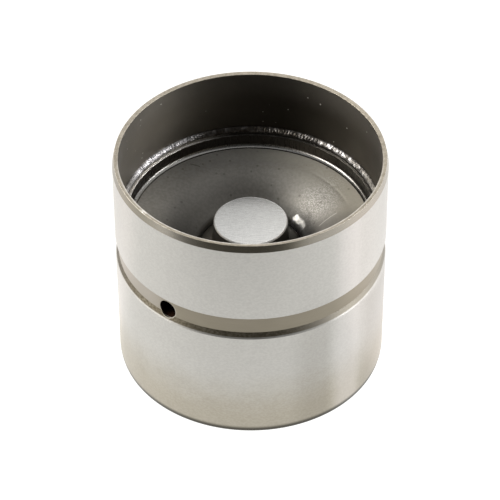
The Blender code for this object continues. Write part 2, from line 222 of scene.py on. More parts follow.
# %% Outline helpers
def arc(centre, size, start, end, steps=10):
    """Corners on an ellipse: centre + size * (cos a, sin a) for a from start to end degrees.

    The size is a pair, or one radius for a circle. The corners' edge radius is zero, because the arc
    is round already.
    """
    wide, high = np.broadcast_to(size, 2)
    a = np.radians(np.linspace(start, end, steps + 1))
    return np.column_stack([centre[0] + wide * np.cos(a), centre[1] + high * np.sin(a), 0 * a])


def rounded(corners, steps=5):
    """Turns corners (radius, height, edge) into an outline with an arc of radius edge at each.

    With unit vectors u and v from a corner to its neighbours and h half the angle between them, the
    arc's centre lies edge / sin h from the corner along u + v. It starts edge / tan h along u, ends
    as far along v, and turns by w = pi - 2h. A point at share t of the turn is the centre plus
    sin((1 - t) w) / sin w times the start's arm plus sin(t w) / sin w times the end's arm.
    """
    corners = np.asarray(corners, float)
    place = corners[:, :2]
    edge = corners[:, 2:]
    to_last = np.roll(place, 1, axis=0) - place
    to_next = np.roll(place, -1, axis=0) - place
    u = to_last / np.maximum(np.linalg.norm(to_last, axis=1, keepdims=True), 1e-12)
    v = to_next / np.maximum(np.linalg.norm(to_next, axis=1, keepdims=True), 1e-12)
    half = np.arccos(np.clip((u * v).sum(1, keepdims=True), -0.999999, 0.999999)) / 2
    middle = (u + v) / np.maximum(np.linalg.norm(u + v, axis=1, keepdims=True), 1e-12)
    centre = place + middle * edge / np.sin(half)
    start_arm = place + u * edge / np.tan(half) - centre
    end_arm = place + v * edge / np.tan(half) - centre
    turn = (math.pi - 2 * half)[:, None]
    t = np.linspace(0, 1, steps + 1)[None, :, None]
    points = centre[:, None] + (np.sin((1 - t) * turn) * start_arm[:, None]
                                + np.sin(t * turn) * end_arm[:, None]) / np.sin(turn)
    points = np.where(edge[:, None] > 0, points, place[:, None]).reshape(-1, 2)
    fresh = np.linalg.norm(points - np.roll(points, 1, axis=0), axis=1) > 1e-8
    return points[fresh | (np.arange(len(points)) == 0)]


def spaced(points, longest, closed=False, support=0.03 * MM):
    """Adds points along the straight runs of an outline.

    The outline is measured along its length. Places every `longest`, and one `support` before and
    after each old point, are added where they keep that distance from every old point. They hold the
    smooth shading of an edge close to the edge.
    """
    if closed:
        points = np.vstack([points, points[:1]])
    along = np.concatenate([[0], np.cumsum(np.linalg.norm(np.diff(points, axis=0), axis=1))])
    extra = np.concatenate([along - support, along + support, np.arange(longest, along[-1], longest)])
    extra = extra[(extra > 0) & (extra < along[-1])]
    clear = np.abs(extra[:, None] - along[None, :]).min(axis=1) > support * 0.99
    marks = np.unique(np.concatenate([along, extra[clear]]))
    filled = np.column_stack([np.interp(marks, along, points[:, i]) for i in range(2)])
    return filled[:-1] if closed else filled


# %% [markdown]
# ## From a grid to a mesh
#
# A turned surface is a function of two parameters: how far along the outline, and how far round the
# axis. Worked out on a grid, it is one array of rows and columns. The columns always close on
# themselves. The rows close too when the outline is a ring. Where an outline ends on the axis, its
# row is a single point, a pole, and the faces next to it are triangles.

# %% Grid helpers
def turned(outline, columns):
    """Grid of a turned surface: (radius cos a, radius sin a, height) for `columns` even angles a."""
    a = np.linspace(0, 2 * math.pi, columns, endpoint=False)[None, :]
    radius = outline[:, :1]
    height = outline[:, 1:]
    return np.stack([radius * np.cos(a), radius * np.sin(a), height + 0 * a], axis=-1)


def grid_faces(grid, ring):
    """Quads between neighbouring rows and columns, and triangles at rows that are one point."""
    rows, columns = grid.shape[:2]
    index = np.arange(rows * columns).reshape(rows, columns)
    pole = np.abs(grid - grid[:, :1]).max(axis=(1, 2)) < 1e-9
    index = np.where(pole[:, None], index[:, :1], index)
    lower = index if ring else index[:-1]
    upper = np.roll(index, -1, axis=0) if ring else index[1:]
    quads = np.stack([lower, np.roll(lower, -1, axis=1), np.roll(upper, -1, axis=1), upper], axis=-1)
    low_pole = pole if ring else pole[:-1]
    high_pole = np.roll(pole, -1) if ring else pole[1:]
    faces = quads[~(low_pole | high_pole)].reshape(-1, 4).tolist()
    faces += quads[low_pole][..., [0, 2, 3]].reshape(-1, 3).tolist()
    faces += quads[high_pole][..., [0, 1, 3]].reshape(-1, 3).tolist()
    return faces


def volume_inside(points, faces):
    """Signed volume: a sixth of the sum of a . (b x c) over the triangles a, b, c of every face."""
    corners = np.array([face if len(face) == 4 else [*face, face[2]] for face in faces])
    a, b, c, d = (points[corners[:, i]] for i in range(4))
    return ((a * np.cross(b, c)).sum() + (a * np.cross(c, d)).sum()) / 6


def piece(name, grid, ring=False):
    """An object with a closed mesh made from a grid, with its faces pointing out."""
    points = grid.reshape(-1, 3)
    faces = grid_faces(grid, ring)
    volume = volume_inside(points, faces)
    if volume < 0:
        faces = [face[::-1] for face in faces]
    used = np.unique(np.concatenate([np.ravel(face) for face in faces]))
    place = np.zeros(len(points), int)
    place[used] = np.arange(len(used))
    mesh = bpy.data.meshes.new(name)
    mesh.from_pydata(points[used].tolist(), [], [place[face].tolist() for face in faces])
    made = bpy.data.objects.new(name, mesh)
    bpy.context.collection.objects.link(made)
    print(f"{name}: {len(mesh.polygons)} faces, {abs(volume) / MM**3:.1f} mm3")
    return made


def smooth(made, angle=32):
    """Smooth shading, with every edge that turns by more than the angle left sharp."""
    made.data.shade_smooth()
    made.data.set_sharp_from_angle(angle=math.radians(angle))
    return made


# %% [markdown]
# ## Holes
#
# A hole across a turned wall could be built into the grid by bending its rows round the hole, but the
# groove's edge runs straight through this one. A Boolean cut gives the true edge there. The cutter is
# a short rod, made from a grid of four rows: a pole, two rings and another pole.

# %% Cutting helpers
def extruded(name, outline, low, high):
    """A closed prism: the outline's (x, y) ring at two heights, closed by a fan to its middle."""
    ring = np.asarray(outline, float)
    middle = np.broadcast_to(ring.mean(axis=0), ring.shape)
    rows = [(middle, low), (ring, low), (ring, high), (middle, high)]
    grid = np.stack([np.column_stack([at, np.full(len(at), height)]) for at, height in rows])
    return piece(name, grid)


def rod(name, radius, start, end, columns=64):
    """A closed cylinder from start to end: a round prism stood along that line."""
    start = Vector(start)
    line = Vector(end) - start
    a = np.linspace(0, 2 * math.pi, columns, endpoint=False)
    made = extruded(name, radius * np.column_stack([np.cos(a), np.sin(a)]), 0, line.length)
    made.data.transform(Matrix.Translation(start) @ line.to_track_quat("Z", "Y").to_matrix().to_4x4())
    return made


def cut(made, cutter):
    """Takes the cutter out of a piece for good, and removes the cutter."""
    modifier = made.modifiers.new("cut", "BOOLEAN")
    modifier.operation = "DIFFERENCE"
    modifier.solver = "EXACT"
    modifier.object = cutter
    shown = made.evaluated_get(bpy.context.evaluated_depsgraph_get())
    carved = bpy.data.meshes.new_from_object(shown)
    made.modifiers.clear()
    made.data = carved
    bpy.data.objects.remove(cutter, do_unlink=True)
    print(f"{made.name}: {len(carved.polygons)} faces after the cut")


# %% [markdown]
# ## The bucket
#
# The bucket is one turned and ground steel cup. Its outline starts under the crown, runs up the
# outside over the oil groove to the rim, and comes down the bore to the crown's inner face. The
# groove has a square upper edge and a sloping lower shoulder, and the oil hole breaks through both
# its floor and that slope.

# %% Bucket
BUCKET_COLUMNS = 288
KEEN_EDGE = 0.04 * MM                  # what is left of a ground edge
BROKEN_EDGE = 0.1 * MM


def bucket_outline():
    """The bucket's corners, each with its edge radius, from the cam face round to the crown's inside."""
    land_edge = OUTER_RADIUS - RIM_LEAD[0]
    return rounded(np.vstack([
        [(0, 0, 0)],
        arc((OUTER_RADIUS - FOOT_LEAD[0], FOOT_LEAD[1]), FOOT_LEAD, -90, 0),
        [(OUTER_RADIUS, GROOVE_BOTTOM, KEEN_EDGE)],
        [(GROOVE_RADIUS, GROOVE_BOTTOM + GROOVE_SHOULDER, BROKEN_EDGE)],
        [(GROOVE_RADIUS, GROOVE_TOP, KEEN_EDGE)],
        [(OUTER_RADIUS, GROOVE_TOP, KEEN_EDGE)],
        [(OUTER_RADIUS, HEIGHT - RIM_LEAD[1], KEEN_EDGE)],
        [(land_edge, HEIGHT, KEEN_EDGE)],
        [(SKIRT_BORE, HEIGHT - RIM_INNER_DROP, KEEN_EDGE)],
        [(SKIRT_BORE, LEDGE_HEIGHT, BROKEN_EDGE)],
        [(LOWER_BORE, LEDGE_HEIGHT, BROKEN_EDGE)],
        [(LOWER_BORE, CROWN_THICKNESS, CROWN_FILLET)],
        [(0, CROWN_THICKNESS, 0)],
    ]), steps=8)


def make_bucket():
    """The turned cup, with the oil recess and the oil hole cut out of it."""
    made = piece("ground_bucket", turned(spaced(bucket_outline(), 0.6 * MM), BUCKET_COLUMNS))
    half = OIL_RECESS_WIDTH / 2
    slot = np.vstack([arc((OIL_RECESS_LENGTH - half, 0), half, -90, 90, 24),
                      arc((0, 0), half, 90, 270, 24)])
    low = CROWN_THICKNESS - OIL_RECESS_DEPTH
    cut(made, extruded("oil_recess_cutter", slot[:, :2], low, CROWN_THICKNESS + OIL_RECESS_DEPTH))
    outward = Vector((math.cos(OIL_HOLE_AZIMUTH), math.sin(OIL_HOLE_AZIMUTH), 0))
    middle = Vector((0, 0, OIL_HOLE_HEIGHT))
    cut(made, rod("oil_hole_cutter", OIL_HOLE_RADIUS, middle + outward * (LOWER_BORE - LOWER_WALL),
                  middle + outward * (OUTER_RADIUS + LOWER_WALL)))
    return smooth(made)


bucket = make_bucket()
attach(bucket, "bucket_body")
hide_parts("bucket")

# %% [markdown]
# ## Unevenness
#
# A weld bead and a torn sheet edge are uneven, but they close on themselves round the axis. Plain
# noise would leave a seam there. A sum of cosines with whole-number frequencies round the ring has
# no seam, and random phases from a seeded generator make it look accidental and stay the same.

# %% Uneven rings
def uneven(a, across, seed, waves, slowest, fastest):
    """Smooth unevenness between about -1 and 1 over angle a and a second parameter in radians.

    It is the sum of cos(n a + m across + p) over `waves` waves, divided by the square root of half
    their number. n is a random whole number from slowest to fastest, m from -2 to 2, p any phase.
    """
    chance = np.random.default_rng(seed)
    n = chance.integers(slowest, fastest + 1, waves)
    m = chance.integers(-2, 3, waves)
    p = chance.uniform(0, 2 * math.pi, waves)
    total = np.cos(n * a[..., None] + m * across[..., None] + p).sum(axis=-1)
    return total / math.sqrt(waves / 2) / 2


# %% [markdown]
# ## The guide sleeve
#
# The sleeve is drawn from 0.6 mm sheet: a web with an upturned flange at its edge and a guide tube in
# its middle. The web falls a little from the flange, then dishes down ever more steeply into the
# tube. A lathe profile of arcs gives all of that in one ring: up the tube's bore, over the dish, up
# the flange and back underneath. The sheet's cut edge at the flange's lip is a little ragged, so its
# rows are pushed in and out there, and partly up and down.

# %% Guide sleeve
SLEEVE_COLUMNS = 360
LIP_RAGGEDNESS = 0.035 * MM
LIP_REACH = 0.16 * MM                  # the rows this close to the lip are pushed about
LIP_RISE = 0.8                         # upward share of that push
LIP_WAVES = (11, 24, 20, 150)          # seed, waves, slowest and fastest for uneven()
LIP_CORNERS = [(0.0, 0.04, 0.06), (0.17, 0.1, 0.05), (0.22, -0.1, 0.04), (0.34, 0.3, 0.04)]


def sleeve_outline():
    """The sleeve's corners from the tube's foot up its bore, along the web to the lip, and back.

    A surface that leans inwards by an angle t has its normal at 90 + t degrees, so every bend is an
    arc between two such angles, and the underside is the same arc with a radius smaller or larger by
    the sheet's thickness. LIP_CORNERS go over the lip and up the weld's slope: each is millimetres
    out from the flange's inner face, millimetres up from the lip, and its edge radius.
    """
    slope = math.degrees(WEB_SLOPE)
    steep = math.degrees(THROAT_SLOPE)
    edge = (BEND_CENTRE[0] + FLANGE_FILLET * math.sin(WEB_SLOPE),
            BEND_CENTRE[1] - FLANGE_FILLET * math.cos(WEB_SLOPE))
    dish_start = (edge[0] - DISH_MARGIN, edge[1] - DISH_MARGIN * math.tan(WEB_SLOPE))
    dish_end = TUBE_BORE + THROAT_REACH
    round_dish = (dish_start[0] - dish_end) / (math.sin(THROAT_SLOPE) - math.sin(WEB_SLOPE))
    dish = (dish_start[0] + round_dish * math.sin(WEB_SLOPE),
            dish_start[1] - round_dish * math.cos(WEB_SLOPE))
    throat_radius = TUBE_BORE + THROAT_ROUND
    throat_end = throat_radius - THROAT_ROUND * math.sin(THROAT_SLOPE)
    throat_height = (dish[1] + round_dish * math.cos(THROAT_SLOPE)
                     - (dish_end - throat_end) * math.tan(THROAT_SLOPE))
    throat = (throat_radius, throat_height - THROAT_ROUND * math.cos(THROAT_SLOPE))
    under_dish = round_dish - SHEET
    under_throat = THROAT_ROUND - SHEET
    outer_bend = FLANGE_FILLET + SHEET
    return rounded(np.vstack([
        [(TUBE_BORE, TUBE_FOOT, BROKEN_EDGE)],
        arc(throat, THROAT_ROUND, 180, 90 + steep, 8),
        arc(dish, round_dish, 90 + steep, 90 + slope, 18),
        arc(BEND_CENTRE, FLANGE_FILLET, slope - 90, 0, 10),
        [(LIP_RADIUS + out * MM, LIP_HEIGHT + up * MM, bend * MM) for out, up, bend in LIP_CORNERS],
        [(FLANGE_RADIUS, FLANGE_TOP, KEEN_EDGE)],
        arc(BEND_CENTRE, outer_bend, 0, slope - 90, 8),
        arc(dish, under_dish, 90 + slope, 90 + steep, 8),
        arc(throat, under_throat, 90 + steep, 180, 5),
        [(TUBE_BORE + SHEET, TUBE_FOOT, BROKEN_EDGE)],
    ]))


def make_sleeve():
    """The turned sleeve, with a ragged lip: rows near the lip move outward by the uneven ring."""
    outline = spaced(sleeve_outline(), 1.0 * MM, closed=True)
    grid = turned(outline, SLEEVE_COLUMNS)
    away = np.hypot(outline[:, 0] - LIP_RADIUS, outline[:, 1] - LIP_HEIGHT)
    near_lip = np.exp(-(away / LIP_REACH)**2)[:, None]
    a = np.linspace(0, 2 * math.pi, SLEEVE_COLUMNS, endpoint=False)[None, :]
    push = LIP_RAGGEDNESS * near_lip * uneven(a, 0 * a, *LIP_WAVES)
    grid += push[..., None] * np.stack([np.cos(a), np.sin(a), LIP_RISE + 0 * a], axis=-1)
    return smooth(piece("drawn_guide_sleeve", grid, ring=True))


sleeve = make_sleeve()
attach(sleeve, "bucket_body")
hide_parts("guide_sleeve")

# %% [markdown]
# ## The weld
#
# A rough bead joins the flange to the bucket's bore all the way round. It is a ring whose section is
# a flat ellipse leaning against the wall. Two layers of unevenness swell and shrink the section: a
# slow one for the puddles of the weld and a quick one for its ripples.

# %% Weld bead
BEAD_COLUMNS = 2160
BEAD_ROWS = 20
BEAD_CENTRE = (16.5 * MM, 22.7 * MM)
BEAD_HALF_LENGTH = 0.42 * MM
BEAD_HALF_THICKNESS = 0.17 * MM
BEAD_LEAN = math.radians(52)
PUDDLES = (3, 20, 12, 60)              # seed, waves, slowest and fastest for uneven()
PUDDLE_SHARE = 0.22
RIPPLES = (5, 40, 120, 320)
RIPPLE_SHARE = 0.3


def make_weld_bead():
    """A ring of an ellipse's section that leans by BEAD_LEAN.

    At section angle s the point lies (half length cos s, half thickness sin s) from the section's
    middle. The thickness is multiplied by the swell, which is 1 plus the puddles and the ripples at
    their shares, and the length by three quarters plus a quarter of the swell.
    """
    s = np.linspace(0, 2 * math.pi, BEAD_ROWS, endpoint=False)[:, None]
    a = np.linspace(0, 2 * math.pi, BEAD_COLUMNS, endpoint=False)[None, :]
    s, a = np.broadcast_arrays(s, a)
    swell = 1 + PUDDLE_SHARE * uneven(a, s, *PUDDLES) + RIPPLE_SHARE * uneven(a, s, *RIPPLES)
    along = BEAD_HALF_LENGTH * np.cos(s) * (0.75 + 0.25 * swell)
    across = BEAD_HALF_THICKNESS * np.sin(s) * swell
    radius = BEAD_CENTRE[0] + along * math.cos(BEAD_LEAN) - across * math.sin(BEAD_LEAN)
    height = BEAD_CENTRE[1] + along * math.sin(BEAD_LEAN) + across * math.cos(BEAD_LEAN)
    radius = np.minimum(radius, SKIRT_BORE + BROKEN_EDGE)
    grid = np.stack([radius * np.cos(a), radius * np.sin(a), height], axis=-1)
    return smooth(piece("weld_bead", grid, ring=True), 60)


bead = make_weld_bead()
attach(bead, "bucket_body")

# %% [markdown]
# ## The inner housing
#
# The inner housing carries the pad that meets the valve stem. Only its end is ground bright. The neck
# below the pad and the cone out to its guide diameter were left as they came from the press. It
# slides in the sleeve, so it rides on its own body.

# %% Inner housing
HOUSING_COLUMNS = 240
PAD_CROWN = 0.05 * MM                  # the ground pad falls this much from its middle to its edge


def housing_outline():
    """From the pad's middle, out and down the outside, then up the bore to the valve's pocket."""
    neck_foot = PAD_HEIGHT - NECK_HEIGHT
    pad = np.linspace(0, PAD_RADIUS - PAD_BEVEL, 24)
    crown = np.column_stack([pad, PAD_HEIGHT - PAD_CROWN * (pad / PAD_RADIUS)**2, 0 * pad])
    return rounded(np.vstack([
        crown,
        [(PAD_RADIUS, PAD_HEIGHT - PAD_CROWN - PAD_BEVEL, KEEN_EDGE)],
        [(PAD_RADIUS + NECK_TAPER, neck_foot, 2 * BROKEN_EDGE)],
        [(HOUSING_RADIUS - HOUSING_CHAMFER, neck_foot - SHOULDER_DROP, BROKEN_EDGE)],
        [(HOUSING_RADIUS, neck_foot - SHOULDER_DROP - HOUSING_CHAMFER, BROKEN_EDGE)],
        [(HOUSING_RADIUS, HOUSING_FOOT + HOUSING_CHAMFER, KEEN_EDGE)],
        [(HOUSING_RADIUS - HOUSING_CHAMFER, HOUSING_FOOT, KEEN_EDGE)],
        [(HOUSING_BORE + HOUSING_CHAMFER, HOUSING_FOOT, KEEN_EDGE)],
        [(HOUSING_BORE, HOUSING_FOOT + HOUSING_CHAMFER, KEEN_EDGE)],
        [(HOUSING_BORE, SPRING_SEAT, BROKEN_EDGE)],
        [(POCKET_RADIUS, SPRING_SEAT, BROKEN_EDGE)],
        [(POCKET_RADIUS, POCKET_TOP, 2 * BROKEN_EDGE)],
        [(0, POCKET_TOP, 0)],
    ]))


housing = smooth(piece("ground_housing", turned(spaced(housing_outline(), 0.5 * MM), HOUSING_COLUMNS)))
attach(housing, "housing_body")
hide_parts("inner_housing")

# %% [markdown]
# ## Piston, ball and cap
#
# These stay hidden inside, but the tappet is a model that can be taken apart, so they get the same
# care. The piston holds the oil reservoir and the valve's seat. The ball closes the seat, and a drawn
# cap with windows keeps the ball in place.

# %% Piston
PISTON_COLUMNS = 180


def piston_outline():
    """A closed outline: up the outside with its relief, over the head to the seat, down the reservoir."""
    relief_foot = (PISTON_FOOT + PISTON_TOP - RELIEF_WIDTH) / 2
    relief_radius = PISTON_RADIUS - RELIEF_DEPTH
    return rounded([
        (RESERVOIR_RADIUS, PISTON_FOOT, KEEN_EDGE),
        (PISTON_RADIUS - PISTON_CHAMFER, PISTON_FOOT, KEEN_EDGE),
        (PISTON_RADIUS, PISTON_FOOT + PISTON_CHAMFER, KEEN_EDGE),
        (PISTON_RADIUS, relief_foot, KEEN_EDGE),
        (relief_radius, relief_foot + RELIEF_DEPTH, KEEN_EDGE),
        (relief_radius, relief_foot + RELIEF_WIDTH - RELIEF_DEPTH, KEEN_EDGE),
        (PISTON_RADIUS, relief_foot + RELIEF_WIDTH, KEEN_EDGE),
        (PISTON_RADIUS, PISTON_TOP - PISTON_CHAMFER, KEEN_EDGE),
        (PISTON_RADIUS - PISTON_CHAMFER, PISTON_TOP, KEEN_EDGE),
        (PORT_RADIUS + SEAT_WIDTH, PISTON_TOP, KEEN_EDGE),
        (PORT_RADIUS, PISTON_TOP - SEAT_WIDTH, KEEN_EDGE),
        (PORT_RADIUS, PISTON_TOP - PISTON_HEAD, KEEN_EDGE),
        (RESERVOIR_RADIUS, PISTON_TOP - PISTON_HEAD, 2 * BROKEN_EDGE),
    ])


piston = smooth(piece("ground_piston", turned(spaced(piston_outline(), 0.5 * MM, True), PISTON_COLUMNS),
                      ring=True))
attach(piston, "bucket_body")
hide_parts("piston")

# %% Valve cap
CAP_COLUMNS = 144


def make_cap():
    """The drawn cap, turned from a closed outline, with two pairs of round windows cut through it."""
    inner = CAP_RADIUS - CAP_SHEET
    outline = rounded([
        (inner, CAP_FOOT, BROKEN_EDGE),
        (CAP_FLANGE_RADIUS, CAP_FOOT, KEEN_EDGE),
        (CAP_FLANGE_RADIUS, CAP_FOOT + CAP_SHEET, KEEN_EDGE),
        (CAP_RADIUS, CAP_FOOT + CAP_SHEET, BROKEN_EDGE),
        (CAP_RADIUS, CAP_TOP, 2 * BROKEN_EDGE),
        (CAP_VENT_RADIUS, CAP_TOP, KEEN_EDGE),
        (CAP_VENT_RADIUS, CAP_TOP - CAP_SHEET, KEEN_EDGE),
        (inner, CAP_TOP - CAP_SHEET, BROKEN_EDGE),
    ])
    made = piece("drawn_valve_cap", turned(spaced(outline, 0.4 * MM, True), CAP_COLUMNS), ring=True)
    middle = Vector((0, 0, (CAP_FOOT + CAP_TOP) / 2))
    for reach in (Vector((CAP_FLANGE_RADIUS, 0, 0)), Vector((0, CAP_FLANGE_RADIUS, 0))):
        cut(made, rod("window_cutter", CAP_WINDOW_RADIUS, middle - reach, middle + reach, 32))
    return smooth(made)


cap = make_cap()
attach(cap, "bucket_body")
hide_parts("valve_cap")

# %% Check ball
ball_outline = arc((0, BALL_HEIGHT), BALL_RADIUS, -90, 90, 48)[:, :2]
ball_outline[[0, -1], 0] = 0
ball = smooth(piece("check_ball", turned(ball_outline, 96)))
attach(ball, "ball_body")
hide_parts("valve_ball")

# %% [markdown]
# ## Springs
#
# A compression spring is a wire along a helix, with one closed turn at each end. A bevelled curve
# would do, but as a grid the wire's section stays round at any slope. The springs get shorter as the
# joints move.

# %% Springs
CLOSED_PITCH = 1.1                     # wire thicknesses from turn to turn in a closed end


def make_spring(name, node, wire, turns, steps_per_turn=60, sides=20):
    """A wire swept along a helix that fills the node's box.

    The wire's middle climbs by CLOSED_PITCH wires over the first and the last turn, and evenly
    between them. Round each place the section is wire / 2 times (cos b outward + sin b across),
    where across is the cross product of the helix's direction and outward. Both ends close on a pole.
    """
    low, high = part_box(node)
    radius = high.x - wire / 2
    climb = high.z - low.z - wire
    turn = np.linspace(0, turns, int(turns * steps_per_turn) + 1)
    closed = CLOSED_PITCH * wire
    height = low.z + wire / 2 + np.interp(turn, [0, 1, turns - 1, turns], [0, closed, climb - closed, climb])
    a = 2 * math.pi * turn
    middle = np.column_stack([radius * np.cos(a), radius * np.sin(a), height])
    direction = np.gradient(middle, axis=0)
    direction /= np.linalg.norm(direction, axis=1, keepdims=True)
    outward = np.column_stack([np.cos(a), np.sin(a), 0 * a])
    across = np.cross(direction, outward)
    b = np.linspace(0, 2 * math.pi, sides, endpoint=False)[None, :, None]
    tube = middle[:, None] + wire / 2 * (np.cos(b) * outward[:, None] + np.sin(b) * across[:, None])
    ends = [np.broadcast_to(middle[i], (1, sides, 3)) for i in (0, -1)]
    return smooth(piece(name, np.concatenate([ends[0], tube, ends[1]])))


return_spring = make_spring("coiled_return_spring", "return_spring", 0.7 * MM, 4.5)
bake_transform(return_spring)
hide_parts("return_spring")

# %% Ball spring
ball_spring = make_spring("coiled_ball_spring", "valve_spring", 0.2 * MM, 3.5)
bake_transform(ball_spring)
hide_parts("valve_spring")

# %% [markdown]
# ## Writing materials as formulas
#
# Node trees get hard to read when they are wired by hand. One small class wraps a node's output
# socket, so that sums and products of sockets add the Math nodes themselves, also with the number
# first, as in 1 - mask. Every other node comes from its method node().

# %% Value class
class Value:
    """An output socket of a material's node tree, or the tree itself while it has none."""

    def __init__(self, tree, socket=None):
        self.tree = tree
        self.socket = socket

    def node(self, kind, settings=None, inputs=None, output=0):
        """Adds a node, sets its settings, then its sockets by index, name or identifier."""
        made = self.tree.nodes.new(kind)
        for name, setting in (settings or {}).items():
            setattr(made, name, setting)
        for key, given in (inputs or {}).items():
            socket = find_socket(made.inputs, key)
            if isinstance(given, Value):
                self.tree.links.new(given.socket, socket)
            else:
                socket.default_value = given
        return Value(self.tree, find_socket(made.outputs, output)) if made.outputs else made

    def math(self, operation, *terms):
        return self.node("ShaderNodeMath", {"operation": operation}, dict(enumerate(terms)))

    def __add__(self, other):
        return self.math("ADD", self, other)

    def __radd__(self, other):
        return self.math("ADD", other, self)

    def __sub__(self, other):
        return self.math("SUBTRACT", self, other)

    def __rsub__(self, other):
        return self.math("SUBTRACT", other, self)

    def __mul__(self, other):
        return self.math("MULTIPLY", self, other)

    def __rmul__(self, other):
        return self.math("MULTIPLY", other, self)


def find_socket(sockets, key):
    """The socket with that index, or else with that identifier, or else with that name."""
    if isinstance(key, int):
        return sockets[key]
    matches = [s for s in sockets if s.identifier == key] + [s for s in sockets if s.name == key]
    return matches[0]


# %% [markdown]
# The next helpers are the words that the finishes are written in: the place on the piece in
# millimetres, a smooth step, a mixed colour, noise that can be stretched, scattered dots, a blot and
# a scratch. They all read Object coordinates, so a pattern stays on its piece when the piece moves.

# %% Words for the finishes
def places(value):
    """The place in millimetres as a vector, then x, y, z and the radius from the axis."""
    metres = value.node("ShaderNodeTexCoord", output="Object")
    place = value.node("ShaderNodeVectorMath", {"operation": "SCALE"}, {0: metres, "Scale": 1 / MM})
    x, y, z = (value.node("ShaderNodeSeparateXYZ", inputs={0: place}, output=i) for i in range(3))
    radius = (x * x + y * y).math("SQRT", x * x + y * y)
    return place, x, y, z, radius


def rise(value, low, high):
    """0 below low, 1 above high, and a smooth step between them. With low above high it falls."""
    return value.node("ShaderNodeMapRange", {"interpolation_type": "SMOOTHSTEP"},
                      {"Value": value, "From Min": low, "From Max": high})


def past(value, edge, low, high):
    """A rise in millimetres from low to high past an edge, which is given in metres like the sizes."""
    return rise(value, edge / MM + low, edge / MM + high)


def mixed(factor, first, second):
    """The colour that goes from first to second as the factor goes from 0 to 1."""
    first = first if isinstance(first, Value) else (*first, 1)
    second = second if isinstance(second, Value) else (*second, 1)
    return factor.node("ShaderNodeMix", {"data_type": "RGBA"},
                       {"Factor_Float": factor, "A_Color": first, "B_Color": second}, "Result_Color")


def coated(base, *coats):
    """A base colour under coats, each a factor and the colour it brings. Later coats lie on top."""
    for factor, colour in coats:
        base = mixed(factor, base, colour)
    return base


def grain(place, stretch, detail=3.0, roughness=0.55):
    """Noise between 0 and 1, with `stretch` waves per millimetre: one number, or one each for x, y, z."""
    stretch = stretch if isinstance(stretch, tuple) else (stretch, stretch, stretch)
    stretched = place.node("ShaderNodeVectorMath", {"operation": "MULTIPLY"}, {0: place, 1: stretch})
    return place.node("ShaderNodeTexNoise", {"noise_dimensions": "3D"},
                      {"Vector": stretched, "Scale": 1.0, "Detail": detail, "Roughness": roughness})


def dots(place, per_mm, size, share):
    """1 inside round dots: cells of a Voronoi pattern whose random colour falls within the share."""
    cells = {"Vector": place, "Scale": per_mm}
    distance = place.node("ShaderNodeTexVoronoi", {"voronoi_dimensions": "3D"}, cells, "Distance")
    colour = place.node("ShaderNodeTexVoronoi", {"voronoi_dimensions": "3D"}, cells, "Color")
    red = place.node("ShaderNodeSeparateColor", inputs={0: colour})
    return red.math("LESS_THAN", red, share) * rise(distance, size, size / 2)


def blot(x, y, centre, reach, fade, ragged=0.0):
    """1 close to a centre (x, y) and 0 beyond its reach, all in millimetres.

    The distance from the centre is sqrt(dx^2 + dy^2). `ragged` is added to it, and over the last
    `fade` millimetres the 1 falls to 0.
    """
    dx = x - centre[0]
    dy = y - centre[1]
    away = dx.math("SQRT", dx * dx + dy * dy) + ragged
    return rise(away, reach, reach - fade)


def scratch(x, y, start, end, width):
    """1 on the straight line from start to end and 0 beyond its width, all in millimetres.

    The nearest place on the line lies at the share t of its length. t is the dot product of the way
    from the start with the whole line, over the line's length squared, held between 0 and 1.
    """
    run = (end[0] - start[0], end[1] - start[1])
    share = ((x - start[0]) * run[0] + (y - start[1]) * run[1]) * (1 / (run[0]**2 + run[1]**2))
    share = share.math("MINIMUM", share.math("MAXIMUM", share, 0.0), 1.0)
    dx = x - start[0] - share * run[0]
    dy = y - start[1] - share * run[1]
    return rise(dx.math("SQRT", dx * dx + dy * dy), width, 0.4 * width)


def steel(material, base, rough, height, depth, anisotropy, turn, metallic=1.0):
    """Finishes a metal: colour, roughness and a bump of the given height pattern and depth.

    Anisotropy and its turn are the same all over, so they are set on the shader's own sockets. How
    metallic it is can be a number or, where dull spots scatter light like paint, a formula.
    """
    tree = material.node_tree
    shader = tree.nodes["Principled BSDF"]
    if isinstance(metallic, Value):
        tree.links.new(metallic.socket, shader.inputs["Metallic"])
    else:
        shader.inputs["Metallic"].default_value = metallic
    shader.inputs["Anisotropic"].default_value = anisotropy
    shader.inputs["Anisotropic Rotation"].default_value = turn
    bump = base.node("ShaderNodeBump", inputs={"Strength": 1.0, "Distance": depth, "Height": height})
    tree.links.new(base.socket, shader.inputs["Base Color"])
    tree.links.new(rough.socket, shader.inputs["Roughness"])
    tree.links.new(bump.socket, shader.inputs["Normal"])
    print(f"{material.name}: {len(tree.nodes)} nodes")
    return material


def new_material(name):
    """A material with a Principled shader, and the places on its piece to write formulas with."""
    material = bpy.data.materials.new(name)
    material.use_nodes = True
    return material, places(Value(material.node_tree))


def paint(made, first, *others):
    """Gives a piece its first material, and each (material, where) pair the faces it is for.

    where(radius, height) is true on those faces, with the radius and height of their centres in
    metres. A later pair paints over an earlier one.
    """
    made.data.materials.clear()
    made.data.materials.append(first)
    centres = np.empty(len(made.data.polygons) * 3)
    made.data.polygons.foreach_get("center", centres)
    x, y, z = centres.reshape(-1, 3).T
    index = np.zeros(len(x), np.int32)
    for number, (material, where) in enumerate(others, 1):
        made.data.materials.append(material)
        index[where(np.hypot(x, y), z)] = number
    made.data.polygons.foreach_set("material_index", index)
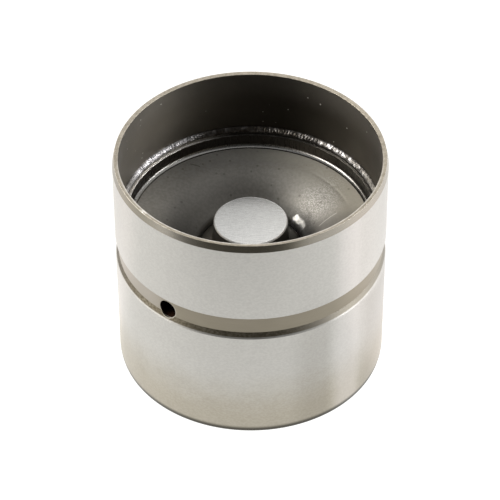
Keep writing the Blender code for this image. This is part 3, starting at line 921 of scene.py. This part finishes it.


# %% [markdown]
# ## Ground steel
#
# The bucket's outside is centreless ground, which leaves fine rings and a warm satin grey. The groove
# was only turned, so it is darker and coarser, and the wall of the oil hole is a near-black brown. That
# is one material: masks made of the radius and the height pick the finish for each region, and some of
# them paint light and shade onto the wall, the groove's shoulder, the hole's edge and the chamfer. The
# bore kept the brown skin of its heat treatment, with painted light and shade over it, and the rim's
# land is rough and half dull, with painted light on its near side. They meet the outside at sharp
# edges, where a soft mask would bleed, so they are materials of their own, given to the faces they
# belong to.

# %% Ground steel
def ground_steel():
    """Finish of the bucket's outside: its wall, groove, oil hole, foot and chamfer."""
    material, (place, x, y, z, radius) = new_material("ground_steel")
    rings = grain(place, (0.5, 0.5, 26.0))
    coarse_rings = grain(place, (0.3, 0.3, 7.0))
    clouds = grain(place, (0.35, 0.35, 0.5), 4.0)
    tooth = grain(place, (4.0, 4.0, 9.0), 2.0)
    sandy = rise(grain(place, (3.0, 3.0, 4.5), 3.0), 0.34, 0.66)

    wall = mixed(0.4 * clouds + 0.6 * sandy, (0.405, 0.394, 0.374), (0.475, 0.467, 0.44))
    skin = mixed(0.5 * clouds + 0.5 * sandy, (0.325, 0.298, 0.244), (0.40, 0.37, 0.31))
    shadow = (0.1, 0.085, 0.06)
    warm = rise(z + 3.0 * clouds, 13.0, 3.5)
    front = rise(y, 0.0, -5.0)
    # The dull band darkens the front of the wall towards the bottom with the shadow colour: painted shade.
    dull = rise(x, 4.0, 8.0) * rise(x, 10.8, 9.2) * rise(z, 25.0, 12.0)
    # A strip on the right front of the wall is lightened towards pale pink: a painted highlight.
    bright = rise(x, 10.0, 11.8) * rise(x, 14.4, 13.0)
    # The wall's lower right edge is darkened with the shadow colour: painted shade.
    right_edge_shade = rise(x, 13.5, 15.5) * rise(z, 17.0, 15.0)
    # The foot's rounded edge is painted nearly black: painted shade where it faces the floor.
    foot = past(z, FOOT_LEAD[1], 0.1, -0.55)
    wall = coated(wall, (warm, skin), (0.2 * front * dull, shadow),
                  ((0.1 + 0.06 * warm) * front * bright, (0.92, 0.865, 0.87)),
                  (0.22 * right_edge_shade, shadow), (0.9 * foot, (0.03, 0.027, 0.02)))

    slope = mixed(0.6 * sandy * clouds, (0.075, 0.064, 0.045), (0.26, 0.24, 0.19))
    # Towards the right the groove's shoulder is lightened: a painted highlight.
    slope = mixed(rise(x, 3.0, 10.0), slope, (0.2, 0.185, 0.155))
    groove = mixed(0.5 * clouds + 0.5 * coarse_rings, (0.198, 0.176, 0.135), (0.262, 0.236, 0.186))
    groove = coated(groove, (rise(x, -9.0, -13.0), (0.30, 0.275, 0.24)),
                    (past(z, GROOVE_BOTTOM + GROOVE_SHOULDER, 0.05, -0.05), slope))
    in_groove = (past(radius, OUTER_RADIUS, -0.05, -0.12) * past(z, GROOVE_TOP, 0.1, 0.0)
                 * past(z, GROOVE_BOTTOM, -0.1, 0.0))

    aside = y * math.cos(OIL_HOLE_AZIMUTH) - x * math.sin(OIL_HOLE_AZIMUTH)
    above = z - OIL_HOLE_HEIGHT / MM
    from_hole = aside.math("SQRT", aside * aside + above * above)
    # The hole's edge is painted pale on part of its front: a painted highlight.
    lip = past(from_hole, OIL_HOLE_RADIUS, 0.15, 0.03) * rise(y, 0.0, -1.0)
    lip = lip * rise(0.8 * aside - 0.6 * above, -0.6, 0.9)
    in_hole = past(radius, GROOVE_RADIUS, -0.02, -0.12)

    lead = past(z, HEIGHT - RIM_LEAD[1], -0.06, 0.06) * past(radius, OUTER_RADIUS - RIM_LEAD[0], -0.03, 0.03)
    # The chamfer is darkest in front and lighter towards the left and right: that change is painted light.
    side = rise(x.math("ABSOLUTE", x), 4.0, 9.0) * (1 - 0.75 * rise(x, -10.0, -14.0))
    chamfer = mixed(side, (0.225, 0.205, 0.16), (0.355, 0.33, 0.285))
    base = coated(wall, (in_groove, groove), (lead, chamfer), (0.5 * lip, (0.5, 0.48, 0.43)),
                  (in_hole, (0.045, 0.022, 0.014)))
    rough = 0.27 + 0.10 * rings + 0.05 * clouds + 0.06 * in_groove - 0.12 * lead
    height = 0.5 * rings + 0.6 * tooth + (0.6 * in_groove) * coarse_rings
    return steel(material, base, rough, height, 0.0025 * MM, 0.45, 0.25)


# %% Bore steel
def bore_steel():
    """Finish of the bucket's inside: turned, heat treated and left with its brown skin, with light and shade
    painted over it.
    """
    material, (place, x, y, z, _) = new_material("bore_steel")
    rings = grain(place, (0.4, 0.4, 14.0))
    clouds = grain(place, (0.3, 0.3, 0.4), 4.0)
    pale = mixed(clouds, (0.105, 0.094, 0.077), (0.14, 0.127, 0.105))
    dark = mixed(clouds, (0.034, 0.030, 0.023), (0.05, 0.044, 0.036))
    # The pale brown shows on the left and the dark one from the middle to the right: painted light and shade.
    # The back on the right is darkened further with painted shade, and the bore lightens towards the mouth
    # with painted light.
    back_right_shade = rise(y, 9.0, 12.5) * rise(x, 2.0, 6.0)
    lit_mouth = past(z, HEIGHT, -5.0, 0.0)
    specks = dots(place, 1.2, 0.16, 0.12)
    base = coated(pale, (rise(x, -7.0, 5.0), dark), (0.4 * back_right_shade, (0.01, 0.009, 0.007)),
                  (0.4 * lit_mouth, (0.17, 0.16, 0.145)), (0.7 * specks, (0.6, 0.58, 0.54)))
    return steel(material, base, 0.36 + 0.12 * rings, rings, 0.002 * MM, 0.6, 0.25)


def in_bore(radius, height):
    """Faces of the bucket's inside: its two bores, the ledge between them and the crown's inner face."""
    lower = (radius < LOWER_BORE + 0.005 * MM) & (height > CROWN_THICKNESS - OIL_RECESS_DEPTH - 0.01 * MM)
    upper = (radius < SKIRT_BORE + 0.005 * MM) & (height > LEDGE_HEIGHT - 0.01 * MM)
    return lower | upper


# %% Rim steel
RIM_BURR = (-13.2, -10.7)               # a knock on the rim, in millimetres


def rim_steel():
    """Finish of the rim's land: tan where it is seen across the bore, and paler on the near side, which is
    painted light.
    """
    material, (place, x, y, _, radius) = new_material("rim_steel")
    clouds = grain(place, 0.8, 4.0)
    tooth = grain(place, 5.0)
    mottle = rise(0.5 * grain(place, 2.0) + 0.5 * tooth, 0.36, 0.62)
    tan = mixed(0.4 * clouds + 0.6 * mottle, (0.165, 0.145, 0.11), (0.345, 0.315, 0.265))
    pale = mixed(0.4 * clouds + 0.6 * mottle, (0.32, 0.30, 0.265), (0.56, 0.54, 0.50))
    inner = past(radius + 0.16 * tooth, SKIRT_BORE, 0.3, 0.2)
    burr = blot(x, y, RIM_BURR, 0.55, 0.4, 0.6 * mottle - 0.3)
    # The inner part of the land on the near side takes the paler tone: painted light.
    base = coated(tan, (rise(y, 3.0, -10.0) * inner, pale), (0.7 * burr, (0.75, 0.73, 0.68)))
    return steel(material, base, 0.4 + 0.15 * clouds, tooth, 0.012 * MM, 0.3, 0.25, 0.45)


def on_rim(radius, height):
    """Faces of the rim's land and of the keen edge inside it."""
    return (radius < OUTER_RADIUS - RIM_LEAD[0] + 0.01 * MM) & (height > HEIGHT - RIM_INNER_DROP - KEEN_EDGE)


paint(bucket, ground_steel(), (bore_steel(), in_bore), (rim_steel(), on_rim))

# %% [markdown]
# ## Drawn steel
#
# The sleeve was drawn and heat treated: a dark grey-brown satin. The die left fine marks round the
# web. They could be drawn as rings, but the shader's anisotropy does it with one number, and it
# stretches every highlight into a sector as on the real sheet. On top come small pits, a crease and
# two scratches. Light and shade are painted on as well: a lighter speckled highlight on the right of
# the web, a near white glint on the throat's edge and shade in front of and left of the pad. The die
# smoothed the flange, so that has its own finish.

# %% Drawn steel
# Where the painted glint sits on the throat's edge, and the radius where it ends.
GLINT_SPOT = (6.15, 3.65)              # on the throat's edge, in millimetres
GLINT_EDGE = 7.9                       # the spot ends at this radius, in millimetres
# Centres of the painted highlight on the web's right, in millimetres.
HIGHLIGHT_PATCH = (8.9, 5.3)
HIGHLIGHT_EDGE_PATCH = (11.1, 8.6)
PALE_SCRATCH = ((8.95, 1.4), (11.15, 2.5))
DARK_NICK = ((-7.9, 12.2), (-6.7, 11.75))
CREASE_RADIUS = 13.15


def drawn_steel():
    """Finish of the sleeve's web and of the cap."""
    material, (place, x, y, _, radius) = new_material("drawn_steel")
    clouds = grain(place, 0.3, 4.0)
    tooth = grain(place, 7.0, 2.0)
    sandy = rise(grain(place, 2.6), 0.34, 0.66)
    speckle = rise(grain(place, 6.5, 2.0), 0.42, 0.64)
    pits = dots(place, 1.1, 0.24, 0.18)
    scratches = rise(grain(place, (0.25, 9.0, 0.25), 1.0), 0.66, 0.72)
    ragged = grain(place, 1.6, 2.0)
    # The rubbed spot is a near-white glint painted on the throat's edge: a painted highlight, with lower
    # roughness there.
    glint = blot(x, y, GLINT_SPOT, 1.35, 0.3, 0.7 * ragged - 0.35)
    glint = glint * rise(radius + 0.5 * ragged, GLINT_EDGE + 0.3, GLINT_EDGE)
    # The worn patch is the left panel's highlight on the web, painted as a lighter, speckled colour; there
    # the web is also smoother and bumpier.
    highlight_patch = blot(x, y, HIGHLIGHT_PATCH, 4.4, 4.2, 2.0 * grain(place, 0.8, 2.0) - 1.0)
    highlight_patch = highlight_patch + 0.5 * blot(x, y, HIGHLIGHT_EDGE_PATCH, 2.6, 2.4)
    line = scratch(x, y, *PALE_SCRATCH, 0.08)
    nick = scratch(x, y, *DARK_NICK, 0.12)
    crease = rise(radius.math("ABSOLUTE", radius - CREASE_RADIUS), 0.42, 0.0)
    crease = crease * rise(x, 7.0, 9.5) * rise(y, 3.5, 5.5)
    base = mixed(0.4 * clouds + 0.6 * sandy, (0.235, 0.224, 0.202), (0.315, 0.302, 0.272))
    shade = rise(radius, 13.5, 9.5) * rise(x, 4.0, -3.0) * 0.3 + rise(y, 4.0, 0.5) * rise(x, 5.0, 8.0) * 0.55
    shade = shade + rise(y, 4.0, -1.0) * rise(x, -5.0, -7.0) * 0.35
    highlight_speckle = mixed(speckle, (0.07, 0.066, 0.06), (0.76, 0.735, 0.7))
    glint_colour = mixed(sandy, (0.68, 0.665, 0.63), (0.93, 0.91, 0.87))
    # The coats lighten the far right of the web's outer land, a painted highlight, and the back a little;
    # shade is painted shade.
    base = coated(base, (0.3 * rise(x + 1.4 * y, 16.0, 25.0), (0.62, 0.59, 0.49)),
                  (0.6 * rise(x, 9.0, 12.5), (0.285, 0.265, 0.215)),
                  (0.2 * rise(y, 11.5, 14.5), (0.62, 0.60, 0.56)), (shade, (0.05, 0.045, 0.04)),
                  (0.3 * highlight_patch, highlight_speckle), (0.12 * (highlight_patch * speckle), (0.8, 0.78, 0.74)),
                  (0.45 * pits + 0.6 * nick, (0.07, 0.06, 0.05)), (0.4 * line, (0.7, 0.68, 0.64)),
                  (glint, glint_colour))
    rough = 0.48 + 0.08 * clouds - 0.08 * highlight_patch * speckle - 0.18 * glint
    facet = blot(x, y, GLINT_SPOT, 1.9, 1.1) * (7.6 - radius)
    height = 0.4 * tooth + 0.6 * (1 - pits) + 0.4 * scratches + 0.35 * highlight_patch * speckle
    height = height - 5.5 * crease + 22.0 * facet
    return steel(material, base, rough, height, 0.006 * MM, 0.55, 0.25, 0.4 + 0.5 * glint)


# %% Flange steel
def flange_steel():
    """Finish of the sleeve's flange, smoothed by the die that bent it up."""
    material, (place, x, _, z, radius) = new_material("flange_steel")
    die_marks = grain(place, (9.0, 9.0, 0.5), 2.0)
    face = mixed(die_marks, (0.05, 0.046, 0.04), (0.10, 0.09, 0.08))
    # To the right the face is darkened almost to black: painted shade.
    face = mixed(rise(x, 6.0, 12.0), face, (0.02, 0.018, 0.015))
    # The fillet's bend is painted lighter than the face, more on the left: a painted highlight.
    fillet = past(z, BEND_CENTRE[1], -0.15, -0.4) * past(radius, BEND_CENTRE[0], 0.08, 0.25)
    fillet = fillet * (1 - 0.8 * rise(x, 12.0, 14.6))
    bend = mixed(rise(x, 0.0, 10.0), (0.29, 0.285, 0.27), (0.17, 0.166, 0.16))
    lip = past(z, LIP_HEIGHT, -0.12, -0.02)
    # The torn lip is a bright cut edge on the left and dark on the right: its left side's brightness is a
    # painted highlight.
    torn_edge_and_highlight = mixed(rise(x, -2.0, -10.0), (0.06, 0.056, 0.05), (0.55, 0.53, 0.50))
    base = coated(face, (fillet, bend), (lip, torn_edge_and_highlight))
    return steel(material, base, 0.25 + 0.06 * die_marks, die_marks, 0.001 * MM, 0.3, 0.0)


def on_flange(radius, height):
    """Faces of the sleeve from the foot of the flange's fillet outwards."""
    return radius > BEND_CENTRE[0]


drawn = drawn_steel()
paint(sleeve, drawn, (flange_steel(), on_flange))
paint(cap, drawn)

# %% [markdown]
# ## Weld metal
#
# The bead froze quickly and wasn't touched again, so it is brighter and bluer than the drawn sheet
# and covered in fine ripples. Its shape is already uneven. The bump only adds what is too small for
# the mesh.

# %% Weld metal
def weld_metal():
    """Finish of the weld bead: bright, slightly blue, with dark soot in patches and painted shade on its
    back, right and front.
    """
    material, (place, x, y, _, _) = new_material("weld_metal")
    ripples = grain(place, 10.0, 2.0)
    # Soot lies in patches, thinner on the left so the bead there is lighter: a painted highlight.
    soot = rise(grain(place, 1.1, 4.0), 0.36, 0.54) * (1 - 0.6 * rise(x, -4.0, -10.0))
    # The front half, the back and the right of the bead are darkened: painted shade.
    ends = rise(y, 9.0, 5.0)
    base = mixed(soot, (0.54, 0.53, 0.54), (0.1, 0.095, 0.09))
    base = coated(base, (0.3 * rise(x, 5.0, 12.0), (0.03, 0.028, 0.025)),
                  (0.85 * rise(y, 13.0, 15.8), (0.05, 0.044, 0.036)), (0.88 * ends, (0.085, 0.08, 0.072)))
    rough = 0.31 + 0.2 * ripples + 0.15 * ends
    return steel(material, base, rough, ripples, 0.017 * MM, 0.0, 0.0)


bead.data.materials.append(weld_metal())

# %% [markdown]
# ## Polished steel
#
# The pad is finely ground to a bright neutral grey. The neck and the cone below it are darker, and
# on their right a painted shade turns them almost black. The piston and the ball are lapped all
# over, so the masks that darken the neck only reach the housing.

# %% Polished steel
def polished_steel(name, dark_neck):
    """Finish of the housing, or of the lapped pieces where there is no dark neck."""
    material, (place, x, _, z, radius) = new_material(name)
    brushing = grain(place, (1.2, 16.0, 16.0))
    hatch = grain(place, (16.0, 1.2, 16.0))
    clouds = grain(place, 0.5)
    strokes = rise(0.7 * brushing + 0.3 * hatch, 0.36, 0.64)
    bright = mixed(strokes, (0.76, 0.755, 0.73), (0.95, 0.945, 0.92))
    edge = rise(radius, (PAD_RADIUS - 1.8 * PAD_BEVEL) / MM, (PAD_RADIUS - PAD_BEVEL) / MM) * rise(
        z, (PAD_HEIGHT - 3 * PAD_BEVEL) / MM, (PAD_HEIGHT - 2.2 * PAD_BEVEL) / MM)
    dark = mixed(clouds, (0.18, 0.165, 0.14), (0.26, 0.24, 0.21))
    # On its right the neck is darkened almost to black: painted shade.
    dark = mixed(0.85 * rise(x, 1.0, 4.0), dark, (0.02, 0.018, 0.012))
    below = rise(z, (PAD_HEIGHT - PAD_CROWN - 1.2 * PAD_BEVEL) / MM,
                 (PAD_HEIGHT - PAD_CROWN - 2 * PAD_BEVEL) / MM)
    above_guide = rise(z, (PAD_HEIGHT - NECK_HEIGHT - 2 * SHOULDER_DROP) / MM,
                       (PAD_HEIGHT - NECK_HEIGHT - SHOULDER_DROP - HOUSING_CHAMFER) / MM)
    neck = dark_neck * below * above_guide
    base = mixed(neck, bright, dark)
    rough = 0.16 + 0.05 * brushing + 0.16 * neck
    height = 0.6 * brushing + 0.4 * hatch
    return steel(material, base, rough, height, 0.001 * MM, 0.0, 0.0, 0.8 - dark_neck * 0.6 * edge)


housing.data.materials.append(polished_steel("ground_pad_steel", 1.0))
lapped = polished_steel("lapped_steel", 0.0)
piston.data.materials.append(lapped)
ball.data.materials.append(lapped)

# %% [markdown]
# ## Spring steel
#
# Spring wire is drawn and oil tempered. It has a dull blue-grey skin with fine marks.

# %% Spring steel
def spring_steel():
    """Finish of both springs."""
    material, (place, *_) = new_material("spring_steel")
    clouds = grain(place, 0.8, 4.0)
    marks = grain(place, 6.0)
    base = mixed(clouds, (0.28, 0.28, 0.29), (0.42, 0.42, 0.43))
    return steel(material, base, 0.3 + 0.15 * clouds, marks, 0.004 * MM, 0.0, 0.0)


coil_steel = spring_steel()
return_spring.data.materials.append(coil_steel)
ball_spring.data.materials.append(coil_steel)

# %% [markdown]
# ## Floor and light
#
# The tappet stands on a white table in a light tent. Upright walls reflect the table, the pad
# reflects the bright top of the tent, and whatever leans towards the camera reflects the tent's dark
# opening there. Two soft panels stand low at the sides. In a plain shader they would only brighten
# the walls. The web's anisotropy draws each of them out into a bright sector.

# %% Floor
FLOOR_SIZE = 1.6
FLOOR_GLOW = 1.5                       # lifts the table to white in the picture
GLOW_RADIUS = 150 * MM                 # the table is lit this far out, less far in front
FLOOR_GAP = 0.02 * MM                  # keeps the cam face and the floor from lying in one plane


def make_floor():
    """A glowing square under the tappet.

    north and east are y and x over the distance from the axis, so they tell the direction. The glow
    is brightest at the sides, greyer in front and behind, and a painted cast shadow dims it a little
    close behind on the right. It ends beyond GLOW_RADIUS.
    """
    half = FLOOR_SIZE / 2
    mesh = bpy.data.meshes.new("floor")
    corners = [(-half, -half, -FLOOR_GAP), (half, -half, -FLOOR_GAP), (half, half, -FLOOR_GAP),
               (-half, half, -FLOOR_GAP)]
    mesh.from_pydata(corners, [], [(0, 1, 2, 3)])
    made = bpy.data.objects.new("floor", mesh)
    bpy.context.collection.objects.link(made)
    material, (_, x, y, _, radius) = new_material("white_table")
    shader = material.node_tree.nodes["Principled BSDF"]
    shader.inputs["Base Color"].default_value = (0.05, 0.05, 0.05, 1)
    shader.inputs["Roughness"].default_value = 0.9
    shader.inputs["Specular IOR Level"].default_value = 0.0
    north = y.math("DIVIDE", y, radius + 1.0)
    east = x.math("DIVIDE", x, radius + 1.0)
    aside = rise(north + 0.25 * east, -0.3, 0.1)
    glow = mixed(aside, (0.75, 0.75, 0.74), (0.96, 0.925, 0.91))
    # A painted cast shadow dims the glow a little close behind on the right.
    cast_shadow = rise(radius, 44.0, 26.0) * rise(north + 0.3 * east, 0.2, 0.7)
    glow = coated(glow, (rise(north, 0.1, 0.7), (0.72, 0.71, 0.70)), (0.06 * cast_shadow, (0, 0, 0)))
    wings = rise(north + 0.25 * east, -1.0, -0.6)
    reach = radius * (1.7 - 0.8 * wings)
    glow = mixed(rise(reach, GLOW_RADIUS / MM, 0.75 * GLOW_RADIUS / MM), (0, 0, 0), glow)
    material.node_tree.links.new(glow.socket, shader.inputs["Emission Color"])
    shader.inputs["Emission Strength"].default_value = FLOOR_GLOW
    mesh.materials.append(material)


make_floor()

# %% Lights
def softbox(name, azimuth, elevation, distance, width, height, radiance, colour=(1, 1, 1)):
    """A rectangular area light that faces the tappet's middle.

    Azimuth counts from +X towards +Y and elevation from the horizon, both in degrees. Its power is
    its radiance times pi times its area.
    """
    data = bpy.data.lights.new(name, "AREA")
    data.shape = "RECTANGLE"
    data.size = width
    data.size_y = height
    data.energy = radiance * math.pi * width * height
    data.color = colour
    a = math.radians(azimuth)
    e = math.radians(elevation)
    outward = Vector((math.cos(e) * math.cos(a), math.cos(e) * math.sin(a), math.sin(e)))
    made = bpy.data.objects.new(name, data)
    made.matrix_world = (Matrix.Translation(Vector((0, 0, LOOK_HEIGHT)) + outward * distance)
                         @ outward.to_track_quat("Z", "Y").to_matrix().to_4x4())
    bpy.context.collection.objects.link(made)
    print(f"{name}: {data.energy:.1f} W")


softbox("right_panel", 5, 20, 0.7, 0.7, 0.15, 36.0)
softbox("left_panel", 177, 27, 0.7, 0.8, 0.25, 25.0, (1, 0.96, 0.9))

# %% Light tent
OPENING_ELEVATION = math.radians(35)
OPENING_CORE = math.radians(35)        # the opening is darkest within this angle of its middle
OPENING_EDGE = math.radians(60)
OPENING_DARKNESS = 0.9
WALL_END = math.radians(36.5)          # above this elevation the tent's wall turns into its lit top
TOP_START = math.radians(46.5)
TENT_WALL = 0.33

world = bpy.data.worlds.new("light_tent")
world.use_nodes = True
tent = Value(world.node_tree)
direction = tent.node("ShaderNodeTexCoord", output="Generated")
upward = tent.node("ShaderNodeSeparateXYZ", inputs={0: direction}, output=2)
facing = tent.node("ShaderNodeVectorMath", {"operation": "DOT_PRODUCT"},
                   {0: direction, 1: (0, -math.cos(OPENING_ELEVATION), math.sin(OPENING_ELEVATION))}, "Value")
opening = rise(facing, math.cos(OPENING_EDGE), math.cos(OPENING_CORE))
lit = rise(upward, math.sin(WALL_END), math.sin(TOP_START))
glow = (TENT_WALL + (1 - TENT_WALL) * lit) * (1 - OPENING_DARKNESS * opening)
world.node_tree.links.new(glow.socket, world.node_tree.nodes["Background"].inputs["Color"])
world.node_tree.nodes["Background"].inputs["Strength"].default_value = 1.0
bpy.context.scene.world = world
bpy.context.scene.view_settings.view_transform = "Standard"
